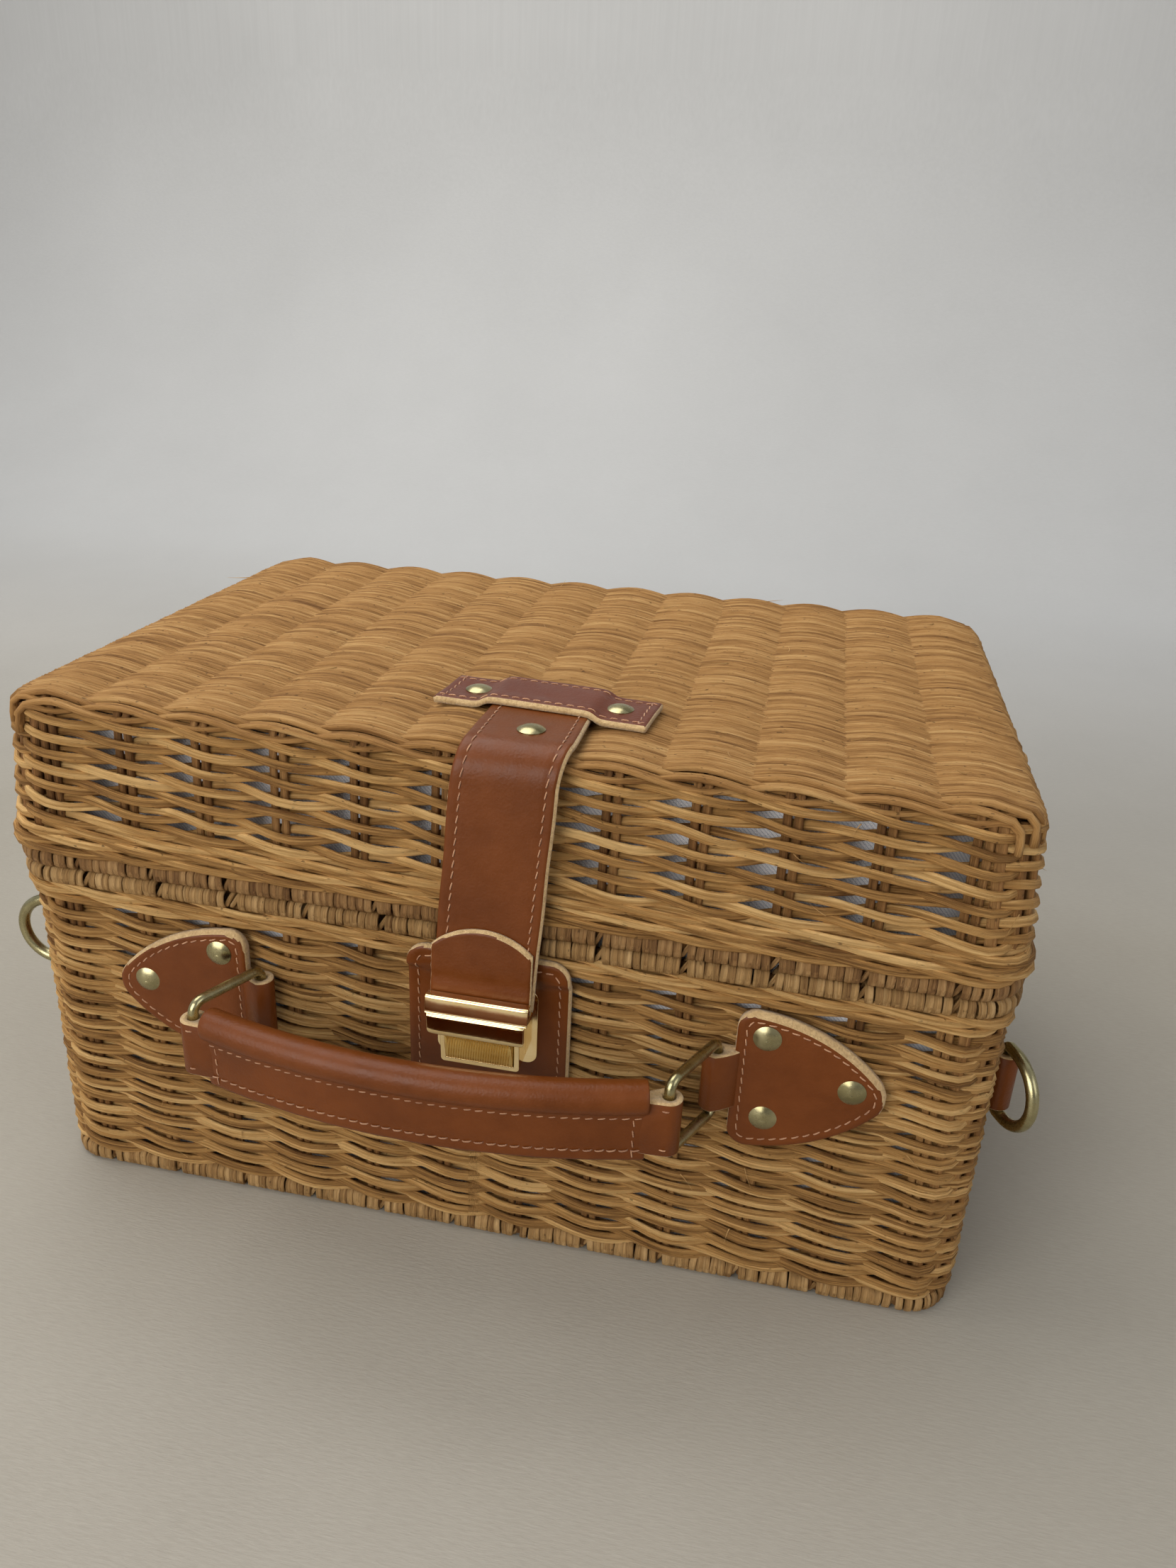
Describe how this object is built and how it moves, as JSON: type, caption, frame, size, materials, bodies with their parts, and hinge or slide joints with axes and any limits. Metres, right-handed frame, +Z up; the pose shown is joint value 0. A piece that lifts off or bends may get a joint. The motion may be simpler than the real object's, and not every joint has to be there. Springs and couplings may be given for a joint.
{
  "type": "wicker picnic basket",
  "caption": "Small rectangular woven wicker case with a hinged lid, fabric lining, leather carrying handle on brass rings, and a leather closing strap with a gold press lock.",
  "frame": {"origin": "on the floor under the middle of the basket body, on the underside of the woven base", "axes": "+X along the width, to the right seen from the front; -Y is the front with the handle and lock; +Z up"},
  "size_m": [0.3261, 0.2347, 0.171],
  "materials": {
    "reed": "natural unpeeled willow and rattan reeds, lightly varnished",
    "cane": "thick varnished cane",
    "leather": "chestnut smooth leather with raw pale edges and stitching",
    "antique_brass": "satin antique brass",
    "gold_plate": "polished light gold plating",
    "spring_steel": "bare spring strip",
    "lining_twill": "white cotton twill with fine blue-grey diagonal lines",
    "rope": "cotton rope"
  },
  "bodies": {
    "basket": {"body_weave": "reed", "base_weave": "reed", "body_waling": "reed", "body_rim_border": "reed", "foot_border": "reed", "body_corner_posts": "cane", "body_lining": "lining_twill", "pad_left": "leather", "pad_right": "leather", "pad_rivet_caps": "antique_brass", "pad_rivet_posts": "antique_brass", "side_tab_left": "leather", "side_tab_right": "leather", "side_rivet_caps": "antique_brass", "side_rivet_posts": "antique_brass", "lock_patch": "leather", "lock_base_plate": "gold_plate", "lock_posts": "antique_brass", "lock_housing": "gold_plate", "lock_spring": "spring_steel", "back_straps_body": "leather", "back_rivet_caps_body": "antique_brass", "back_rivet_posts_body": "antique_brass"},
    "lid": {"lid_border": "reed", "lid_waling": "reed", "lid_weave": "reed", "lid_top_weave": "reed", "lid_corner_posts": "cane", "lid_lining": "lining_twill", "strap_top": "leather", "strap_crossbar": "leather", "strap_rivet_caps": "antique_brass", "strap_rivet_posts": "antique_brass", "back_straps_lid": "leather", "back_rivet_caps_lid": "antique_brass", "back_rivet_posts_lid": "antique_brass"},
    "strap_flap": {"strap_flap": "leather", "strap_tongue": "leather", "hasp": "gold_plate"},
    "lock_button": {"lock_button": "gold_plate", "lock_catch": "gold_plate"},
    "ring_left": {"ring_left": "antique_brass"},
    "ring_right": {"ring_right": "antique_brass"},
    "handle": {"handle_cover": "leather", "handle_core": "rope", "handle_loop_left": "leather", "handle_loop_right": "leather"},
    "side_ring_left": {"side_ring_left": "antique_brass"},
    "side_ring_right": {"side_ring_right": "antique_brass"}
  },
  "joints": [
    {"name": "lid_hinge", "type": "hinge", "parent": "basket", "child": "lid", "pos_m": [0, 0.0993, 0.11275], "axis": [-1, 0, 0], "range_deg": [0, 105]},
    {"name": "strap_flap_bend", "type": "hinge", "parent": "lid", "child": "strap_flap", "pos_m": [0, -0.09875, 0.16065], "axis": [-1, 0, 0], "range_deg": [0, 95]},
    {"name": "lock_button_press", "type": "slide", "parent": "basket", "child": "lock_button", "axis": [0, 1, 0], "range_m": [0, 0.0015], "stiffness_N_per_m": 400},
    {"name": "ring_left_swing", "type": "hinge", "parent": "basket", "child": "ring_left", "pos_m": [-0.0654, -0.0985, 0.0782], "axis": [0, 0, 1], "range_deg": [-34, 86]},
    {"name": "ring_right_swing", "type": "hinge", "parent": "basket", "child": "ring_right", "pos_m": [0.0692, -0.0985, 0.0782], "axis": [0, 0, 1], "range_deg": [-34, 86]},
    {"name": "handle_pivot", "type": "hinge", "parent": "ring_left", "child": "handle", "pos_m": [-0.07557, -0.11935, 0.0782], "axis": [0, 0, 1], "range_deg": [-86, 34]},
    {"name": "side_ring_left_swing", "type": "hinge", "parent": "basket", "child": "side_ring_left", "pos_m": [-0.1503, -0.07, 0.073], "axis": [0, 0, 1], "range_deg": [-75, 75]},
    {"name": "side_ring_right_swing", "type": "hinge", "parent": "basket", "child": "side_ring_right", "pos_m": [0.1503, -0.07, 0.073], "axis": [0, 0, 1], "range_deg": [-12, 140]}
  ],
  "couplings": [
    {"joint": "ring_right_swing", "follows": "ring_left_swing", "ratio": 1},
    {"joint": "handle_pivot", "follows": "ring_left_swing", "ratio": -1}
  ]
}
